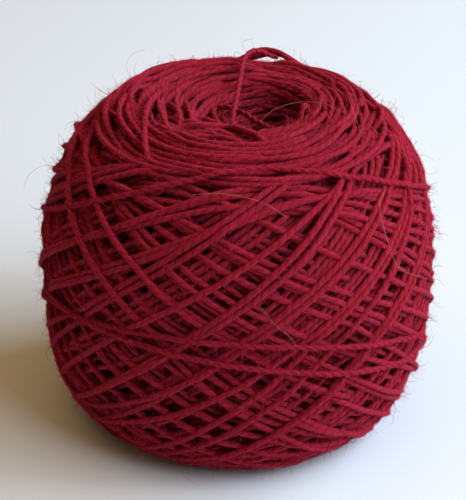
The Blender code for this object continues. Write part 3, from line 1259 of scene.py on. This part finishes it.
def hairPoints(name, count, shortest, longest, seed):
    rng = np.random.default_rng(seed)
    run, azimuth, height = (np.concatenate([strand[key] for strand in winding.strands])
                            for key in ("run", "azimuth", "height"))
    usable = np.flatnonzero(shown & (height > -hairLift["depth"]))
    pick = rng.choice(usable, count, replace=False)
    pick = pick[pick + 1 < len(run)]
    base = surface(run[pick], azimuth[pick], height[pick])
    normal = normalAt(run[pick], azimuth[pick])
    tangent = surface(run[pick + 1], azimuth[pick + 1], height[pick + 1]) - base
    size = np.linalg.norm(tangent, axis=1)
    keep = (size < 4 * yarn["sample"]) & (size > 0.1 * yarn["sample"]) & (base[:, 2] > hairLift["lowest"])
    base, normal, tangent = base[keep], normal[keep], tangent[keep] / size[keep][:, None]
    across = np.cross(normal, tangent)
    side = rng.uniform(-hairLift["reach"], hairLift["reach"], len(base))
    outward = normal * np.cos(side)[:, None] + across * np.sin(side)[:, None]
    base = base + yarn["radius"] * hairLift["sink"] * outward
    lean = normal * rng.uniform(*hairLift["leanOut"], len(base))[:, None]
    lean += tangent * rng.normal(0, hairLift["leanAlong"], len(base))[:, None]
    aside = np.sin(side) * hairLift["leanSide"] + rng.normal(0, hairLift["leanAcross"], len(base))
    lean += across * aside[:, None]
    lean[:, 2] = np.where(base[:, 2] < hairLift["upBelow"], abs(lean[:, 2]), lean[:, 2])
    length = shortest * (longest / shortest) ** rng.beta(*hairLift["lengths"], len(base)) * mm
    return pointMesh(name, base, floats={"size": length, "roll": rng.uniform(0, 2 * math.pi, len(base))},
                     vectors={"lean": lean})


for number, (name, (count, shortest, longest, radius, segments, bends)) in enumerate(hairs.items()):
    tree = hairTree(hairPaint, segments, bends)
    points = hairPoints(name + "_points", count, shortest, longest, hairLift["seed"] + number)
    applyTree(name, points, tree, {"Hair Radius": radius, "Seed": hairLift["pickSeed"] + number})

# long single hairs that stand off the ball, through these points in millimetres
strayHairs = {
    # colour: crimson lightened, painted light for the light the loose hairs catch
    "colour": (0.60, 0.20, 0.20, 1.0),
    "roughness": 0.8,
    "radius": 0.000032,
    "step": 0.0008,
    "routes": (
        ((31.5, -22.2, 65.4), (30.0, -26.6, 63.9), (31.6, -29.2, 57.4), (34.4, -28.7, 50.2),
         (39.8, -22.2, 44.3), (42.2, -18.2, 41.5)),
        ((-40.6, 2.0, 58.6), (-43.1, 1.4, 60.0), (-45.6, 1.0, 59.2), (-47.6, 0.8, 57.2), (-48.4, 0.4, 54.8)),
        ((4.9, -6.0, 74.2), (7.6, -4.2, 76.0), (12.6, -2.8, 77.2), (18.4, -3.4, 77.4), (23.0, -6.4, 76.6)),
        ((19.2, 10.2, 75.8), (23.9, 1.6, 77.2), (25.2, -7.4, 76.8), (26.4, -13.6, 74.8)),
        ((4.9, -44.2, 48.7), (7.7, -45.2, 45.4), (10.8, -44.9, 42.3), (12.2, -43.7, 39.4)),
        ((-24.4, 20.4, 72.2), (-25.8, 22.8, 75.4), (-24.2, 24.8, 77.6), (-21.6, 25.8, 78.0)),
        ((38.0, -3.0, 62.2), (40.8, -4.6, 65.4), (43.6, -6.0, 64.6)),
        ((-9.4, -33.6, 70.0), (-2.6, -35.8, 71.2), (4.8, -36.8, 69.8), (10.4, -37.0, 66.2)),
        ((-12.6, -34.0, 1.6), (-12.0, -37.4, 2.2), (-9.4, -39.8, 1.8)),
        ((3.0, 28.4, 75.0), (1.0, 27.8, 79.0), (3.6, 26.4, 80.6)),
    ),
}
chains = [freeChain(route, strayHairs["step"], 1.0) for route in strayHairs["routes"]]
strayNodes = yarnTree(plainMaterial("pale_crimson_hair", strayHairs["colour"], strayHairs["roughness"]))
applyTree("stray_hairs", lineMesh("stray_hairs_line", chains), strayNodes,
          {"Yarn Radius": strayHairs["radius"], "Ply Pitch": yarn["plyPitch"], "Corners": 4})
print("hairs are made")

# winding under the turns that show
core = {
    "rowStep": 5,
    "columns": 120,
    "gap": 0.0002,
    "lowest": 0.0002,
    # colour: the yarn's crimson darkened, painted shade of the deep winding seen in the gaps
    "colour": (0.085, 0.0022, 0.0055, 1.0),
    "roughness": 0.95,
}


def coreMesh():
    rows = np.arange(0, rowCount, core["rowStep"])
    count = core["columns"]
    azimuth = np.linspace(0, 2 * math.pi, count, endpoint=False)
    points = []
    for row in rows:
        run = np.full(count, runs[row])
        depth = pressed(-startDepth[row] - level[cellsAt(run, azimuth)]) - core["gap"]
        points.append(surface(run, azimuth, depth))
    points = np.concatenate(points)
    points[:, 2] = np.maximum(points[:, 2], core["lowest"])
    faces = [tuple(reversed(range(count)))]
    for ring in range(len(rows) - 1):
        low, high = ring * count, (ring + 1) * count
        for column in range(count):
            after = (column + 1) % count
            faces.append((low + column, low + after, high + after, high + column))
    faces.append(tuple(range(len(points) - count, len(points))))
    mesh = bpy.data.meshes.new("inner_winding")
    mesh.from_pydata([tuple(point) for point in points], [], faces)
    mesh.shade_smooth()
    return mesh


coreObject = bpy.data.objects.new("inner_winding", coreMesh())
coreObject.data.materials.append(plainMaterial("crimson_shadowed", core["colour"], core["roughness"]))
bpy.context.scene.collection.objects.link(coreObject)
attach(coreObject, "root")
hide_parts("yarn_ball")

# the loose inner end
points = throughPoints(np.array(inside["route"]) * mm, inside["step"])
along = np.concatenate([[0], np.cumsum(np.linalg.norm(np.diff(points, axis=0), axis=1))])
thick = 1 + inside["unevenness"] * np.sin(along * inside["unevenTurn"])
chain = {"points": points, "along": along, "thick": thick, "tone": np.ones(len(points))}
looseYarn = applyTree("loose_strand_yarn", lineMesh("loose_line", [chain]), yarnNodes,
                      {**twisted, "Yarn Radius": inside["diameter"] / 2})
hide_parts("loose_strand")
print("loose strand", round(along[-1] / mm, 1), "mm")
